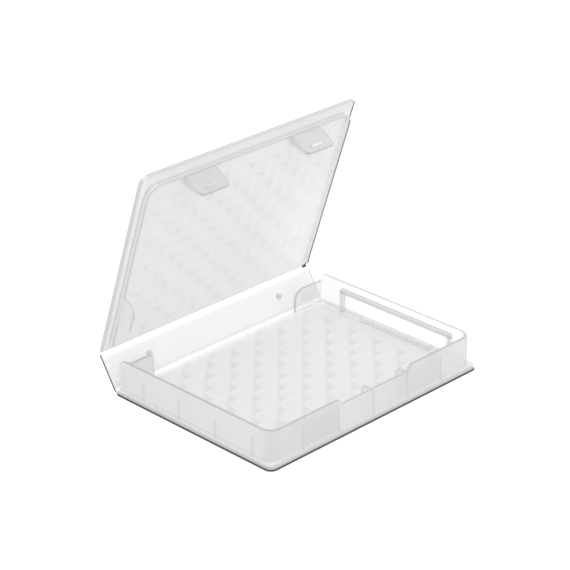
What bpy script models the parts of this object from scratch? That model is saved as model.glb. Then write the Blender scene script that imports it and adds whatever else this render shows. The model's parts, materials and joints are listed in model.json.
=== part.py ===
"""A folding storage case for one 2.5 inch drive: a tray, a spine and a lid joined by two living hinges.

Run it with blender --background --python part.py, or from Blender's text editor.
Lengths are in metres. +X runs along the folds, -Y is the side that opens and +Z is up.
The origin is the middle of the tray's underside.

The spine and the lid are drawn lying flat, each in the frame of its own fold: Y runs away
from the fold axis and Z is the height above it, towards the inside of the case.
"""

import math

import bmesh
import bpy
from mathutils import Matrix, Vector

# Overall sizes
case_length = 0.120
case_depth = 0.092
lid_overhang = 0.001
fold_spacing = 0.0170
plate_thickness = 0.0016
touch_gap = 0.0003
cut_overrun = 0.002

# How far the photographed case stands open, in degrees from lying flat
spine_angle = 58.0
lid_angle = 51.5

# Living hinges and the thinned edges beside them
web_thickness = 0.0005
web_sides = 12
spine_slope = 0.0017
lid_slope = 0.0020

# Tray walls
wall_thickness = 0.0012
wall_inset = 0.0013
lid_clearance = 0.00035
front_corner_radius = 0.0057
plate_corner_radius = 0.0030
rear_drop_radius = 0.0042
arc_steps = 8

# Short return walls beside the spine, lower than the side walls by their drop
return_length = 0.0162
return_setback = 0.0006
left_return_end_radius = 0.0020
right_return_end_radius = 0.0050
return_drop = 0.0036

# Wide finger notch in the front wall
notch_width = 0.0426
notch_depth = 0.0024
notch_slope_run = 0.0025

# Ribs that hold the drive off the walls. The drops are below the wall's top, and the margins
# run from the ends of the straight wall to the middle of the outermost ribs
rib_thickness = 0.0015
front_rib_reach = 0.0062
front_rib_radius = 0.0030
front_rib_drop = 0.0033
front_rib_margin = 0.0130
front_rib_count = 5
side_rib_reach = 0.0040
side_rib_radius = 0.0020
side_rib_drop = 0.00575
side_rib_margin_front = 0.0057
side_rib_margin_rear = 0.01195
side_rib_count = 4

# Guard frame and sill at the drive's plug end. The sill's margins run from the frame's ends
guard_margin_front = 0.0045
guard_margin_rear = 0.0130
guard_drop = 0.00325
guard_bar = 0.0014
guard_leg = 0.0016
guard_reach = 0.0018
sill_margin_front = 0.0110
sill_margin_rear = 0.01305
sill_height = 0.0017
sill_reach = 0.0025

# Pad with a ridge under which each front tab's bump clicks
catch_pad_thickness = 0.0006
catch_pad_margin = 0.0031
catch_ridge_height = 0.0006
catch_slope = 0.0012

# Pyramid pattern inside the tray and the lid
pyramid_pitch = 0.0100
pyramid_side = 0.0077
pyramid_height = 0.0006
pyramid_sink = 0.0002
floor_pattern_x = -0.0026
floor_pattern_y = 0.0023
floor_margin_side = 0.0068
floor_margin_front = 0.0070
floor_margin_rear = 0.0027
lid_pattern_x = -0.0020
lid_pattern_y = 0.0300
lid_margin_side = 0.0060
lid_margin_front = 0.0066
lid_margin_rear = 0.0028

# Pegs on the spine
peg_radius = 0.0012
peg_length = 0.0010
peg_spacing = 0.0756
peg_rise = 0.0004
peg_sides = 20

# Rim on the inside of the lid
rim_clearance = 0.00035
rim_width = 0.0013
rim_height = 0.0020
rim_front_clearance = 0.0010
rim_rear_inset = 0.0050
rim_corner_radius = 0.0070
lid_corner_radius = 0.0040
lid_notch_length = 0.0022
lid_notch_width = 0.0016

# Tabs that stand on the lid's rim. Shut, they end above the tray's floor by their floor gaps
tab_width = 0.0156
tab_shift = 0.0005
tab_setback = 0.0010
tab_floor_gap = 0.0026
tab_lean = 0.0022
tab_left_radius = 0.0026
tab_right_radius = 0.0008
gusset_thickness = 0.0012
gusset_foot = 0.0038
bump_width = 0.0053
bump_shift = 0.0015
bump_reach = 0.0012
bump_length = 0.0016
bump_drop = 0.0018
side_tab_floor_gap = 0.0053
side_tab_width = 0.0155
side_tab_start = 0.0168
side_tab_taper_rear = 0.0024
side_tab_taper_front = 0.0011
side_tab_radius = 0.0035

# Places that follow from the sizes above
half_length = case_length / 2
front_edge = -case_depth / 2
fold_line = case_depth / 2
lid_depth = case_depth + lid_overhang
web_radius = web_thickness / 2
fold_start = web_radius + touch_gap
inner_face = plate_thickness - web_radius
plate_rear = fold_line - fold_start
wall_top = fold_spacing + web_thickness - plate_thickness - lid_clearance
notch_top = wall_top - notch_depth
return_top = wall_top - return_drop
wall_outer_x = half_length - wall_inset
wall_inner_x = wall_outer_x - wall_thickness
wall_outer_y = front_edge + wall_inset
wall_inner_y = wall_outer_y + wall_thickness
front_straight_x = wall_outer_x - front_corner_radius
side_straight_y = wall_outer_y + front_corner_radius
wall_rear_y = fold_line - inner_face - touch_gap
return_outer_y = wall_rear_y - return_setback
return_inner_y = return_outer_y - wall_thickness
return_end_x = wall_inner_x - return_length
front_rib_pitch = (front_straight_x - front_rib_margin) * 2 / (front_rib_count - 1)
side_rib_first = side_straight_y + side_rib_margin_front
side_rib_last = return_inner_y - side_rib_margin_rear
guard_front = side_straight_y + guard_margin_front
guard_rear = return_inner_y - guard_margin_rear
guard_top = wall_top - guard_drop
shut_height = fold_spacing + web_radius
rim_outer_x = wall_inner_x - rim_clearance
rim_inner_x = rim_outer_x - rim_width
rim_outer_y = fold_line - wall_inner_y - rim_front_clearance
rim_inner_y = rim_outer_y - rim_width
rim_top = inner_face + rim_height
rim_straight_x = rim_outer_x - rim_corner_radius
rim_straight_y = rim_outer_y - rim_corner_radius
catch_bay_x = front_rib_pitch * 3 / 2
tab_middle_x = catch_bay_x - tab_shift
tab_tip = shut_height - plate_thickness - tab_floor_gap
side_tab_tip = shut_height - plate_thickness - side_tab_floor_gap
bump_middle = tab_tip - bump_drop

# Colours of the translucent moulding (red, green, blue, alpha) and its roughness
tray_colour = (0.86, 0.86, 0.87, 0.55)
rib_colour = (0.78, 0.78, 0.80, 0.60)
spine_colour = (0.93, 0.93, 0.94, 0.60)
lid_colour = (0.88, 0.88, 0.89, 0.50)
web_colour = (0.97, 0.97, 0.98, 0.65)
moulding_roughness = 0.35


def clear_scene():
    """Removes every object, so that the script can be run again from the text editor."""
    for old in list(bpy.data.objects):
        bpy.data.objects.remove(old, do_unlink=True)


def material(name, colour):
    """A Principled material for one piece."""
    made = bpy.data.materials.new(name)
    made.use_nodes = True
    shader = made.node_tree.nodes["Principled BSDF"]
    shader.inputs["Base Color"].default_value = (*colour[:3], 1.0)
    shader.inputs["Alpha"].default_value = colour[3]
    shader.inputs["Roughness"].default_value = moulding_roughness
    shader.inputs["Metallic"].default_value = 0.0
    made.diffuse_color = colour
    return made


def fold_frame(name, place, turn, parent=None):
    """An empty on a fold axis, turned about X by that many degrees from lying flat."""
    made = bpy.data.objects.new(name, None)
    bpy.context.scene.collection.objects.link(made)
    made.location = place
    made.rotation_euler = (math.radians(turn), 0.0, 0.0)
    made.parent = parent
    return made


def add_object(name, mesh, colour, parent=None):
    """Links a mesh as an object with a material of its own."""
    mesh.materials.append(material(name, colour))
    made = bpy.data.objects.new(name, mesh)
    bpy.context.scene.collection.objects.link(made)
    made.parent = parent
    return made


def mesh_from(name, solid):
    """Turns a bmesh into a mesh with its faces looking outwards."""
    bmesh.ops.recalc_face_normals(solid, faces=solid.faces)
    mesh = bpy.data.meshes.new(name)
    solid.to_mesh(mesh)
    solid.free()
    return mesh


def arc(middle, radius, start, stop):
    """Points of an arc about a middle, from start to stop degrees, both ends included."""
    points = []
    for step in range(arc_steps + 1):
        angle = math.radians(start + (stop - start) * step / arc_steps)
        points.append((middle[0] + radius * math.cos(angle), middle[1] + radius * math.sin(angle)))
    return points


def mirrored(outline, side):
    """The outline as it is on side 1, or flipped left to right on side -1."""
    return [(side * point[0], point[1]) for point in outline]


def prism_mesh(name, outline, along, low, high):
    """Extrudes an outline along x, y or z. Its two axes are the other ones, in alphabetical order."""
    axis = "xyz".index(along)
    across, up = [other for other in range(3) if other != axis]
    solid = bmesh.new()
    rings = []
    for level in (low, high):
        ring = []
        for point in outline:
            place = [level, level, level]
            place[across] = point[0]
            place[up] = point[1]
            ring.append(solid.verts.new(place))
        rings.append(ring)
        solid.faces.new(ring)
    for here in range(len(outline)):
        after = (here + 1) % len(outline)
        solid.faces.new((rings[0][here], rings[0][after], rings[1][after], rings[1][here]))
    return mesh_from(name, solid)


def prism(name, outline, along, low, high, colour, parent=None):
    """A visible piece made by extruding an outline."""
    return add_object(name, prism_mesh(name, outline, along, low, high), colour, parent)


def block(name, low, high, colour, parent=None):
    """A box between two opposite corners."""
    (left, front, bottom), (right, back, top) = low, high
    outline = [(left, front), (right, front), (right, back), (left, back)]
    return prism(name, outline, "z", bottom, top, colour, parent)


def cylinder_mesh(name, radius, length, sides, turn):
    """A cylinder that starts at the origin and runs along Z, then is turned by a matrix."""
    solid = bmesh.new()
    place = turn @ Matrix.Translation(Vector((0.0, 0.0, length / 2)))
    bmesh.ops.create_cone(solid, cap_ends=True, segments=sides, radius1=radius, radius2=radius,
                          depth=length, matrix=place)
    return mesh_from(name, solid)


def combine(piece, guide_name, mesh, operation):
    """Joins, cuts or trims a piece with a hidden guide that has the same parent."""
    guide = bpy.data.objects.new(guide_name, mesh)
    bpy.context.scene.collection.objects.link(guide)
    guide.parent = piece.parent
    guide.hide_render = True
    guide.display_type = "WIRE"
    modifier = piece.modifiers.new(guide_name, "BOOLEAN")
    modifier.operation = operation
    modifier.solver = "EXACT"
    modifier.object = guide
    return piece


def smooth(piece, sharp_degrees):
    """Shades a round piece smooth, apart from its sharp edges."""
    piece.data.shade_smooth()
    piece.data.set_sharp_from_angle(angle=math.radians(sharp_degrees))
    return piece


def pattern_middles(anchor, low, high):
    """Middles of the pyramids that fit whole between two corners. Their rows run at 45 degrees."""
    step = pyramid_pitch / math.sqrt(2)
    reach = pyramid_side / math.sqrt(2)
    spans = []
    for axis in range(2):
        first = math.ceil((low[axis] + reach - anchor[axis]) / step)
        last = math.floor((high[axis] - reach - anchor[axis]) / step)
        spans.append(range(first, last + 1))
    return [(anchor[0] + column * step, anchor[1] + row * step)
            for column in spans[0] for row in spans[1] if (column + row) % 2 == 0]


def pyramids_mesh(name, middles, surface, rear_limit=None):
    """Low pyramids with their corners along X and Y, each sunk a little into its surface.

    A rear limit cuts off what would reach beyond it along Y.
    """
    corner = pyramid_side / math.sqrt(2) * (pyramid_height + pyramid_sink) / pyramid_height
    solid = bmesh.new()
    for middle in middles:
        ring = []
        for across, along in ((corner, 0.0), (0.0, corner), (-corner, 0.0), (0.0, -corner)):
            ring.append(solid.verts.new((middle[0] + across, middle[1] + along, surface - pyramid_sink)))
        tip = solid.verts.new((middle[0], middle[1], surface + pyramid_height))
        solid.faces.new(ring)
        for here in range(len(ring)):
            solid.faces.new((ring[here], ring[here - 1], tip))
    if rear_limit is not None:
        everything = solid.verts[:] + solid.edges[:] + solid.faces[:]
        cut = bmesh.ops.bisect_plane(solid, geom=everything, plane_co=(0.0, rear_limit, 0.0),
                                     plane_no=(0.0, 1.0, 0.0), clear_outer=True)
        rims = [item for item in cut["geom_cut"] if isinstance(item, bmesh.types.BMEdge)]
        bmesh.ops.holes_fill(solid, edges=rims, sides=0)
    return mesh_from(name, solid)


def base_plate():
    """The tray's floor: a flange all round, a thinned rear edge and the pyramid pattern."""
    profile = [(front_edge, 0.0), (plate_rear, 0.0), (plate_rear, web_thickness),
               (wall_rear_y, plate_thickness), (front_edge, plate_thickness)]
    piece = prism("base_plate", profile, "x", -half_length, half_length, tray_colour)
    corner = (half_length - plate_corner_radius, front_edge + plate_corner_radius)
    plan = [(half_length, fold_line), (-half_length, fold_line)]
    plan += arc((-corner[0], corner[1]), plate_corner_radius, 180, 270)
    plan += arc(corner, plate_corner_radius, 270, 360)
    combine(piece, "base_plate_plan",
            prism_mesh("base_plate_plan", plan, "z", -cut_overrun, plate_thickness + cut_overrun),
            "INTERSECT")
    above = plate_thickness + cut_overrun
    groove = [(return_inner_y, plate_thickness), (return_inner_y, above), (fold_line, above),
              (fold_line, web_thickness), (plate_rear, web_thickness)]
    groove_end = return_end_x - touch_gap
    combine(piece, "base_plate_groove",
            prism_mesh("base_plate_groove", groove, "x", -groove_end, groove_end), "DIFFERENCE")
    middles = pattern_middles((floor_pattern_x, floor_pattern_y),
                              (floor_margin_side - half_length, front_edge + floor_margin_front),
                              (half_length - floor_margin_side, fold_line - floor_margin_rear))
    combine(piece, "base_plate_pattern",
            pyramids_mesh("base_plate_pattern", middles, plate_thickness, return_inner_y - touch_gap),
            "UNION")
    slot_reach = rib_thickness / 2 + touch_gap
    slot_rear = wall_inner_y + front_rib_reach + touch_gap
    for middle_x in front_rib_middles():
        slot = [(middle_x - slot_reach, wall_inner_y), (middle_x + slot_reach, wall_inner_y),
                (middle_x + slot_reach, slot_rear), (middle_x - slot_reach, slot_rear)]
        combine(piece, "base_plate_rib_slot",
                prism_mesh("base_plate_rib_slot", slot, "z", plate_thickness, above), "DIFFERENCE")
    return piece


def side_wall(name, side):
    """A long side wall whose top is rounded off beside the spine. side is -1 or 1."""
    middle = (wall_rear_y - rear_drop_radius, wall_top - rear_drop_radius)
    outline = [(side_straight_y, plate_thickness), (wall_rear_y, plate_thickness)]
    outline += arc(middle, rear_drop_radius, 0, 90)
    outline += [(side_straight_y, wall_top)]
    low, high = sorted((side * wall_inner_x, side * wall_outer_x))
    return prism(name, outline, "x", low, high, tray_colour)


def front_wall():
    """The front wall between its corners, with the wide notch."""
    top_x = notch_width / 2
    low_x = top_x - notch_slope_run
    outline = [(-front_straight_x, plate_thickness), (front_straight_x, plate_thickness),
               (front_straight_x, wall_top), (top_x, wall_top), (low_x, notch_top),
               (-low_x, notch_top), (-top_x, wall_top), (-front_straight_x, wall_top)]
    return prism("front_wall", outline, "y", wall_outer_y, wall_inner_y, tray_colour)


def front_corner(name, side):
    """A quarter ring between the front wall and a side wall."""
    middle = (front_straight_x, side_straight_y)
    outline = arc(middle, front_corner_radius, 270, 360)
    outline += arc(middle, front_corner_radius - wall_thickness, 360, 270)
    return smooth(prism(name, mirrored(outline, side), "z", plate_thickness, wall_top, tray_colour), 30)


def return_wall(name, side, end_radius):
    """A short low wall beside the spine, with a rounded free end."""
    middle = (return_end_x + end_radius, return_top - end_radius)
    outline = [(return_end_x, plate_thickness), (wall_inner_x, plate_thickness),
               (wall_inner_x, return_top)]
    outline += arc(middle, end_radius, 90, 180)
    return prism(name, mirrored(outline, side), "y", return_inner_y, return_outer_y, tray_colour)


def rib_outline(foot, reach, radius, top):
    """A rib's side view: a foot against the wall, and a rounded upper end away from it."""
    outline = [(foot, plate_thickness), (foot + reach, plate_thickness)]
    outline += arc((foot + reach - radius, top - radius), radius, 0, 90)
    return outline + [(foot, top)]


def front_rib_middles():
    """Where the front ribs' middles lie along the front wall, from left to right."""
    return [(number - (front_rib_count - 1) / 2) * front_rib_pitch for number in range(front_rib_count)]


def front_ribs():
    """Ribs that stand square to the front wall."""
    outline = rib_outline(wall_inner_y, front_rib_reach, front_rib_radius, wall_top - front_rib_drop)
    for number, middle_x in enumerate(front_rib_middles(), start=1):
        prism(f"front_rib_{number}", outline, "x", middle_x - rib_thickness / 2,
              middle_x + rib_thickness / 2, rib_colour)


def side_ribs():
    """Lower ribs that stand square to the left wall."""
    outline = rib_outline(-wall_inner_x, side_rib_reach, side_rib_radius, wall_top - side_rib_drop)
    pitch = (side_rib_last - side_rib_first) / (side_rib_count - 1)
    for number in range(side_rib_count):
        middle_y = side_rib_first + number * pitch
        prism(f"side_rib_{number + 1}", outline, "y", middle_y - rib_thickness / 2,
              middle_y + rib_thickness / 2, rib_colour)


def plug_guard():
    """Two legs and a bar on the right wall, and a sill on the floor below them."""
    face = wall_inner_x - guard_reach
    bar_bottom = guard_top - guard_bar
    block("guard_bar", (face, guard_front, bar_bottom), (wall_inner_x, guard_rear, guard_top), rib_colour)
    block("guard_leg_front", (face, guard_front, plate_thickness),
          (wall_inner_x, guard_front + guard_leg, bar_bottom), rib_colour)
    block("guard_leg_rear", (face, guard_rear - guard_leg, plate_thickness),
          (wall_inner_x, guard_rear, bar_bottom), rib_colour)
    block("guard_sill", (wall_inner_x - sill_reach, guard_front + sill_margin_front, plate_thickness),
          (wall_inner_x, guard_rear - sill_margin_rear, plate_thickness + sill_height), rib_colour)


def tab_face(height):
    """How far the front tabs' outer face lies from the lid's fold, at a height above the fold axis."""
    return rim_outer_y - tab_setback - tab_lean * (height - rim_top) / (tab_tip - rim_top)


def catch_pad(name, side):
    """A pad between two front ribs, with a ridge that lies just above the shut tab's bump."""
    pad_y = wall_inner_y + catch_pad_thickness
    ridge_low = shut_height - (bump_middle - bump_length / 2) + touch_gap
    ridge_high = ridge_low + catch_ridge_height
    ridge_y = fold_line - tab_face(shut_height - ridge_high) - touch_gap
    pad_top = ridge_high + catch_slope + catch_pad_margin
    outline = [(wall_inner_y, plate_thickness), (pad_y, plate_thickness), (pad_y, ridge_low),
               (ridge_y, ridge_low), (ridge_y, ridge_high), (pad_y, ridge_high + catch_slope),
               (pad_y, pad_top), (wall_inner_y, pad_top)]
    reach = (front_rib_pitch - rib_thickness) / 2 - touch_gap
    middle_x = side * catch_bay_x
    return prism(name, outline, "x", middle_x - reach, middle_x + reach, rib_colour)


def fold_web(name, parent):
    """The thin flexing strip of a living hinge, as a rod on the fold's axis."""
    turn = Matrix.Rotation(math.radians(90), 4, "Y")
    shift = Matrix.Translation(Vector((-half_length, 0.0, 0.0)))
    mesh = cylinder_mesh(name, web_radius, case_length, web_sides, shift @ turn)
    return smooth(add_object(name, mesh, web_colour, parent), 60)


def spine_panel(spine):
    """The narrow panel between the two folds, thinned along both."""
    stop = fold_spacing - fold_start
    outline = [(fold_start, -web_radius), (stop, -web_radius), (stop, web_radius),
               (stop - spine_slope, inner_face), (fold_start + spine_slope, inner_face),
               (fold_start, web_radius)]
    return prism("spine_panel", outline, "x", -half_length, half_length, spine_colour, spine)


def spine_peg(name, side, spine):
    """A short round peg on the spine's inner face."""
    peg_y = fold_spacing / 2 + peg_rise
    place = Matrix.Translation(Vector((side * peg_spacing / 2, peg_y, inner_face)))
    mesh = cylinder_mesh(name, peg_radius, peg_length, peg_sides, place)
    return smooth(add_object(name, mesh, rib_colour, spine), 60)


def lid_panel(lid):
    """The lid's plate with its pyramid pattern, thinned along the fold."""
    profile = [(fold_start, -web_radius), (lid_depth, -web_radius), (lid_depth, inner_face),
               (fold_start + lid_slope, inner_face), (fold_start, web_radius)]
    piece = prism("lid_panel", profile, "x", -half_length, half_length, lid_colour, lid)
    corner = (half_length - lid_corner_radius, lid_depth - lid_corner_radius)
    plan = [(-half_length, 0.0), (half_length - lid_notch_length, 0.0),
            (half_length - lid_notch_length, fold_start), (half_length, fold_start + lid_notch_width)]
    plan += arc(corner, lid_corner_radius, 0, 90)
    plan += arc((-corner[0], corner[1]), lid_corner_radius, 90, 180)
    combine(piece, "lid_panel_plan",
            prism_mesh("lid_panel_plan", plan, "z", -cut_overrun, plate_thickness + cut_overrun),
            "INTERSECT")
    middles = pattern_middles((lid_pattern_x, lid_pattern_y),
                              (lid_margin_side - half_length, lid_margin_rear),
                              (half_length - lid_margin_side, lid_depth - lid_margin_front))
    return combine(piece, "lid_panel_pattern",
                   pyramids_mesh("lid_panel_pattern", middles, inner_face), "UNION")


def lid_rim(lid):
    """The raised rim that drops inside the tray's walls: two sides, a front and two round corners."""
    block("lid_rim_left", (-rim_outer_x, rim_rear_inset, inner_face),
          (-rim_inner_x, rim_straight_y, rim_top), lid_colour, lid)
    block("lid_rim_right", (rim_inner_x, rim_rear_inset, inner_face),
          (rim_outer_x, rim_straight_y, rim_top), lid_colour, lid)
    block("lid_rim_front", (-rim_straight_x, rim_inner_y, inner_face),
          (rim_straight_x, rim_outer_y, rim_top), lid_colour, lid)
    middle = (rim_straight_x, rim_straight_y)
    outline = arc(middle, rim_corner_radius, 0, 90)
    outline += arc(middle, rim_corner_radius - rim_width, 90, 0)
    for name, side in (("lid_rim_corner_left", -1), ("lid_rim_corner_right", 1)):
        smooth(prism(name, mirrored(outline, side), "z", inner_face, rim_top, lid_colour, lid), 30)


def front_tab(name, side, lid):
    """A leaning tab behind the rim's front, with a gusset at each side and a bump near its tip."""
    middle_x = side * tab_middle_x
    left = middle_x - tab_width / 2
    right = middle_x + tab_width / 2
    above = tab_tip + cut_overrun
    foot_y = rim_inner_y - gusset_foot
    foot_z = inner_face + pyramid_height + touch_gap
    below = foot_z - cut_overrun
    section = [(foot_y, foot_z), (rim_inner_y, foot_z), (rim_inner_y, rim_top),
               (tab_face(rim_top), rim_top), (tab_face(above), above),
               (tab_face(above) - rim_width, above), (tab_face(tab_tip) - rim_width, tab_tip)]
    piece = prism(name, section, "x", left - cut_overrun, right + cut_overrun, rib_colour, lid)
    outline = [(left, below), (right, below)]
    outline += arc((right - tab_right_radius, tab_tip - tab_right_radius), tab_right_radius, 0, 90)
    outline += arc((left + tab_left_radius, tab_tip - tab_left_radius), tab_left_radius, 90, 180)
    combine(piece, name + "_outline",
            prism_mesh(name + "_outline", outline, "y", foot_y - cut_overrun, rim_outer_y + cut_overrun),
            "INTERSECT")
    back_y = tab_face(rim_top) - rim_width
    hollow = [(foot_y - cut_overrun, below), (back_y, below), (back_y, rim_top),
              (tab_face(above) - rim_width, above), (foot_y - cut_overrun, above)]
    combine(piece, name + "_hollow",
            prism_mesh(name + "_hollow", hollow, "x", left + gusset_thickness, right - gusset_thickness),
            "DIFFERENCE")
    foot = tab_face(bump_middle) - rim_width / 2
    crest = tab_face(bump_middle) + bump_reach
    bump = [(foot, bump_middle - bump_length / 2), (crest, bump_middle - bump_length / 4),
            (crest, bump_middle + bump_length / 4), (foot, bump_middle + bump_length / 2)]
    bump_x = middle_x - bump_shift
    return combine(piece, name + "_bump",
                   prism_mesh(name + "_bump", bump, "x", bump_x - bump_width / 2,
                              bump_x + bump_width / 2), "UNION")


def side_tab(lid):
    """The broad tab on the rim's left side, near the fold."""
    stop = side_tab_start + side_tab_width
    middle = (stop - side_tab_taper_front - side_tab_radius, side_tab_tip - side_tab_radius)
    outline = [(side_tab_start, rim_top), (stop, rim_top)]
    outline += arc(middle, side_tab_radius, 0, 90)
    outline += [(side_tab_start + side_tab_taper_rear, side_tab_tip)]
    return prism("side_tab", outline, "x", -rim_outer_x, -rim_inner_x, rib_colour, lid)


def tray():
    """Every piece that stays on the table."""
    base_plate()
    side_wall("left_wall", -1)
    side_wall("right_wall", 1)
    front_wall()
    front_corner("front_left_corner", -1)
    front_corner("front_right_corner", 1)
    return_wall("left_return_wall", -1, left_return_end_radius)
    return_wall("right_return_wall", 1, right_return_end_radius)
    front_ribs()
    side_ribs()
    plug_guard()
    catch_pad("catch_pad_left", -1)
    catch_pad("catch_pad_right", 1)


def build():
    """Makes the tray, then the spine and the lid on their fold frames."""
    clear_scene()
    tray()
    lower_fold = fold_frame("lower_fold", (0.0, fold_line, web_radius), spine_angle)
    fold_web("lower_fold_web", None).location = lower_fold.location
    spine_panel(lower_fold)
    spine_peg("spine_peg_left", -1, lower_fold)
    spine_peg("spine_peg_right", 1, lower_fold)
    upper_fold = fold_frame("upper_fold", (0.0, fold_spacing, 0.0), lid_angle, lower_fold)
    fold_web("upper_fold_web", lower_fold).location = upper_fold.location
    lid_panel(upper_fold)
    lid_rim(upper_fold)
    front_tab("front_tab_left", -1, upper_fold)
    front_tab("front_tab_right", 1, upper_fold)
    side_tab(upper_fold)


build()
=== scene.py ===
import json
import math

import bmesh
import bpy
import numpy as np
from mathutils import Matrix, Vector


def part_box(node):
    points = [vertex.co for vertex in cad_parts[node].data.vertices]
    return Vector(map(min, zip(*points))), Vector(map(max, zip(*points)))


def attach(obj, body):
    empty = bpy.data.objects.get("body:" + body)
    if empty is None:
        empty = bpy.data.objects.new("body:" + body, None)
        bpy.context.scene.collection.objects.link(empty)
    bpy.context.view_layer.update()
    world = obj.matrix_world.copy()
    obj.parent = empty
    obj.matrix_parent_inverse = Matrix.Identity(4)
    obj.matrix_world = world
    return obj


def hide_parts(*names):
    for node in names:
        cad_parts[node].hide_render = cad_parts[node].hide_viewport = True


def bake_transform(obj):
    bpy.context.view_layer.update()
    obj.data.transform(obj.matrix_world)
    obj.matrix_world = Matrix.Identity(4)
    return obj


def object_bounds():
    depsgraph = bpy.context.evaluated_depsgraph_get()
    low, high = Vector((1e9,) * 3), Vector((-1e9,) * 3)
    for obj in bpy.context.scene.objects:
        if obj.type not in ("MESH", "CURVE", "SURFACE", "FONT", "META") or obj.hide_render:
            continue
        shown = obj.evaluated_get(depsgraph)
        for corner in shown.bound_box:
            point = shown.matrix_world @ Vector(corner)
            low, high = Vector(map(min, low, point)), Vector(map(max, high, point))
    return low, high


print("Loading the packed case")
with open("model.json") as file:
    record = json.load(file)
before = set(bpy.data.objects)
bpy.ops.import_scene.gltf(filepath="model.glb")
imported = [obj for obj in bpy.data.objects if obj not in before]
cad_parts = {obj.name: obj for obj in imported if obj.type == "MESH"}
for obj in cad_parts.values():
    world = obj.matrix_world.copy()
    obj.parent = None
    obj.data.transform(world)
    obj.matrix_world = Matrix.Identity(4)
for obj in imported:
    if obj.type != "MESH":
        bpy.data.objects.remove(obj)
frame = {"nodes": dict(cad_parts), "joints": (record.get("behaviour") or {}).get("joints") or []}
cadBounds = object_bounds()
nodes = frame["nodes"]
scene = bpy.context.scene
scene.view_settings.view_transform = "Standard"

# The spine and the lid are drawn lying flat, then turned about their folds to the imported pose, in degrees.
joints = {joint["name"]: joint for joint in frame["joints"]}
lowerFold = joints["lower_fold"]["pos_m"]
upperFold = joints["upper_fold"]["pos_m"]
lidTurn = 109.5
tabLean = 12.78
folds = {
    "spine": {"origin": lowerFold, "turn": 58.0},
    "lid": {"origin": upperFold, "turn": lidTurn},
    "tab": {"origin": upperFold, "turn": lidTurn + tabLean},     # its Z runs along the leaning tabs
}


def foldMatrix(name):
    # a turn about X, then a shift to the fold's axis
    fold = folds[name]
    return Matrix.Translation(Vector(fold["origin"])) @ Matrix.Rotation(math.radians(fold["turn"]), 4, "X")


def grey(level):
    # linear light of an 8 bit grey: ((level/255 + 0.055) / 1.055) to the power 2.4
    value = ((level / 255 + 0.055) / 1.055) ** 2.4
    return (value, value, value, 1.0)


def mathNode(tree, operation, first, second=None):
    # one Math node; an input is a socket or a number
    node = tree.nodes.new("ShaderNodeMath")
    node.operation = operation
    for socket, value in ((0, first), (1, second)):
        if value is None:
            continue
        if isinstance(value, (int, float)):
            node.inputs[socket].default_value = value
        else:
            tree.links.new(value, node.inputs[socket])
    return node.outputs[0]


def smoothStep(tree, value, low, high):
    # 0 below low, 1 above high and a smooth S between them; low may be the larger one
    node = tree.nodes.new("ShaderNodeMapRange")
    node.interpolation_type = "SMOOTHSTEP"
    node.clamp = True
    tree.links.new(value, node.inputs["Value"])
    flip = high < low
    node.inputs["From Min"].default_value = min(low, high)
    node.inputs["From Max"].default_value = max(low, high)
    node.inputs["To Min"].default_value = 1.0 if flip else 0.0
    node.inputs["To Max"].default_value = 0.0 if flip else 1.0
    return node.outputs["Result"]


def roundedDistance(tree, x, y, shift, half, corner):
    # distance to a rectangle with round corners: length(max(q, 0)) + min(max(qx, qy), 0) - corner
    # with q = |p - shift| - (half - corner)
    parts = []
    for socket, axis in ((x, 0), (y, 1)):
        moved = mathNode(tree, "ABSOLUTE", mathNode(tree, "SUBTRACT", socket, shift[axis]))
        parts.append(mathNode(tree, "SUBTRACT", moved, half[axis] - corner))
    squares = []
    for part in parts:
        outside = mathNode(tree, "MAXIMUM", part, 0.0)
        squares.append(mathNode(tree, "MULTIPLY", outside, outside))
    away = mathNode(tree, "SQRT", mathNode(tree, "ADD", squares[0], squares[1]))
    inside = mathNode(tree, "MINIMUM", mathNode(tree, "MAXIMUM", parts[0], parts[1]), 0.0)
    return mathNode(tree, "SUBTRACT", mathNode(tree, "ADD", away, inside), corner)


def seenRays(tree):
    # 1 for the rays that see the background as it looks: camera, glossy and transmission rays
    path = tree.nodes.new("ShaderNodeLightPath")
    seen = mathNode(tree, "MAXIMUM", path.outputs["Is Camera Ray"], path.outputs["Is Glossy Ray"])
    return mathNode(tree, "MAXIMUM", seen, path.outputs["Is Transmission Ray"])


print("Placing the camera")
cameraLook = {                  # angles in degrees, places and clip in metres, lens and sensor in mm
    "location": (-0.56715, -0.57736, 0.43001),
    "azimuth": -44.169,
    "elevation": 25.523,
    "roll": -0.853,
    "lens": 139.25,
    "sensor": 36.0,
    "clip": (0.01, 20.0),
}


def makeCamera(look):
    # back = (sin az cos el, -cos az cos el, sin el), right = (cos az, sin az, 0), both turned by the roll
    az, el, roll = (math.radians(look[key]) for key in ("azimuth", "elevation", "roll"))
    back = Vector((math.sin(az) * math.cos(el), -math.cos(az) * math.cos(el), math.sin(el)))
    right = Vector((math.cos(az), math.sin(az), 0.0))
    up = back.cross(right)
    turnedRight = math.cos(roll) * right + math.sin(roll) * up
    turnedUp = math.cos(roll) * up - math.sin(roll) * right
    data = bpy.data.cameras.new("photoCamera")
    data.lens = look["lens"]
    data.sensor_width = look["sensor"]
    data.sensor_fit = "HORIZONTAL"
    data.clip_start, data.clip_end = look["clip"]
    camera = bpy.data.objects.new("photoCamera", data)
    scene.collection.objects.link(camera)
    turn = Matrix((turnedRight, turnedUp, back)).transposed().to_4x4()
    camera.matrix_world = Matrix.Translation(Vector(look["location"])) @ turn
    scene.camera = camera


makeCamera(cameraLook)

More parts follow.
